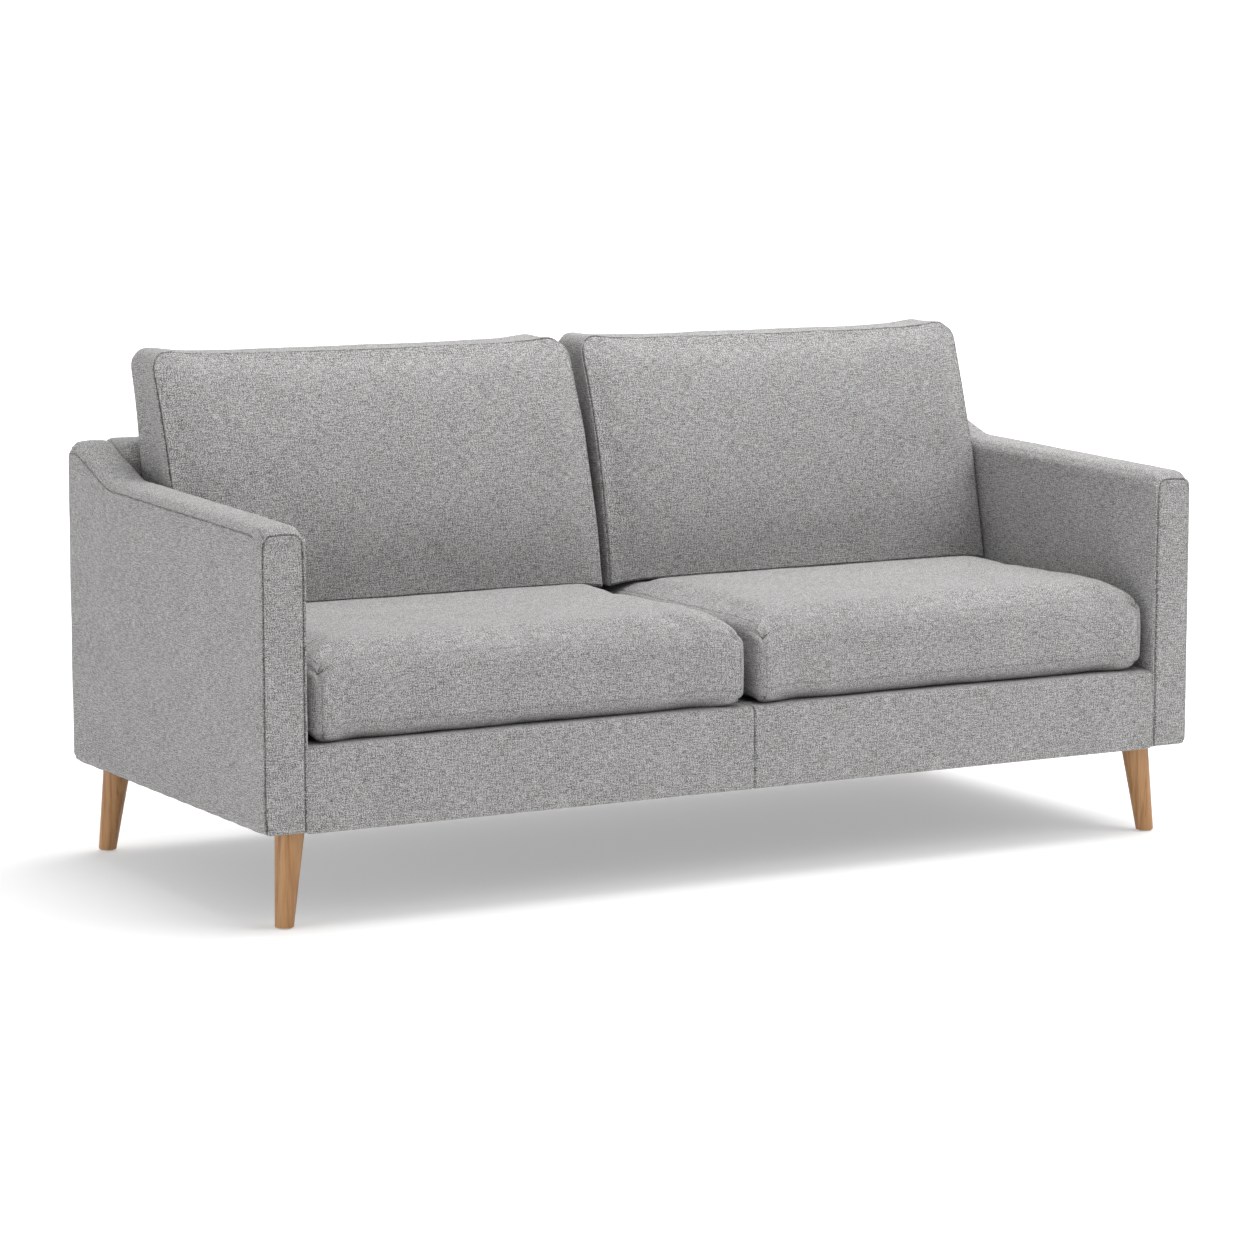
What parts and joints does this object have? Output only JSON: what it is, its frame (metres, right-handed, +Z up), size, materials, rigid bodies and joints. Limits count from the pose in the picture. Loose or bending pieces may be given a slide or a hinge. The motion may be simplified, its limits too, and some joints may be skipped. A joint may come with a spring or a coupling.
{
  "type": "sofa",
  "caption": "Two-seat sofa with slim swept arms, loose boxed seat and back cushions in grey woven fabric, and splayed tapered round wooden legs.",
  "frame": {"origin": "on the floor, at the middle of the sofa's plan", "axes": "+X along the sofa's width, -Y towards the front where people sit down, +Z up"},
  "size_m": [1.8, 0.825, 0.88],
  "materials": {
    "upholstery_fabric": "matte",
    "leg_wood": "satin",
    "frame_timber": "matte",
    "fibreboard": "matte",
    "foam": "matte",
    "webbing": "matte",
    "felt": "matte",
    "deck_fabric": "matte",
    "dust_fabric": "matte",
    "steel": "satin",
    "glide_plastic": "matte",
    "zip": "satin"
  },
  "bodies": {
    "sofa_body": {"front_rail": "frame_timber", "back_rail": "frame_timber", "left_side_rail": "frame_timber", "right_side_rail": "frame_timber", "centre_rail": "frame_timber", "corner_blocks": "frame_timber", "frame_screws": "steel", "back_posts": "frame_timber", "back_top_rail": "frame_timber", "back_lower_rail": "frame_timber", "back_board": "fibreboard", "left_arm_posts": "frame_timber", "right_arm_posts": "frame_timber", "left_arm_top_rail": "frame_timber", "right_arm_top_rail": "frame_timber", "left_arm_outer_board": "fibreboard", "right_arm_outer_board": "fibreboard", "left_arm_inner_board": "fibreboard", "right_arm_inner_board": "fibreboard", "seat_straps_lengthways": "webbing", "seat_straps_crossways": "webbing", "back_webbing": "webbing", "deck_felt": "felt", "deck_cloth": "deck_fabric", "left_arm_foam": "foam", "right_arm_foam": "foam", "left_arm_cover": "upholstery_fabric", "right_arm_cover": "upholstery_fabric", "left_arm_front_panel": "upholstery_fabric", "right_arm_front_panel": "upholstery_fabric", "front_rail_foam": "foam", "left_rail_cover": "upholstery_fabric", "right_rail_cover": "upholstery_fabric", "inside_back_foam": "foam", "inside_back_cover": "upholstery_fabric", "outside_back_cover": "upholstery_fabric", "dust_cover": "dust_fabric", "front_left_leg": "leg_wood", "front_right_leg": "leg_wood", "rear_left_leg": "leg_wood", "rear_right_leg": "leg_wood", "leg_plates": "steel", "plate_screws": "steel", "hanger_bolts": "steel", "foot_glides": "glide_plastic"},
    "left_seat_cushion": {"left_seat_cover": "upholstery_fabric", "left_seat_foam": "foam", "left_seat_zip": "zip"},
    "right_seat_cushion": {"right_seat_cover": "upholstery_fabric", "right_seat_foam": "foam", "right_seat_zip": "zip"},
    "left_back_cushion": {"left_back_cushion_cover": "upholstery_fabric", "left_back_cushion_filling": "foam", "left_back_cushion_zip": "zip"},
    "right_back_cushion": {"right_back_cushion_cover": "upholstery_fabric", "right_back_cushion_filling": "foam", "right_back_cushion_zip": "zip"}
  },
  "joints": [
    {"name": "left_seat_cushion_pull", "type": "slide", "parent": "sofa_body", "child": "left_seat_cushion", "axis": [0, -1, 0], "range_m": [0, 0.64]},
    {"name": "right_seat_cushion_pull", "type": "slide", "parent": "sofa_body", "child": "right_seat_cushion", "axis": [0, -1, 0], "range_m": [0, 0.64]},
    {"name": "left_back_cushion_lift", "type": "slide", "parent": "sofa_body", "child": "left_back_cushion", "axis": [0, 0.2079, 0.9781], "range_m": [0, 0.3]},
    {"name": "right_back_cushion_lift", "type": "slide", "parent": "sofa_body", "child": "right_back_cushion", "axis": [0, 0.2079, 0.9781], "range_m": [0, 0.3]}
  ]
}
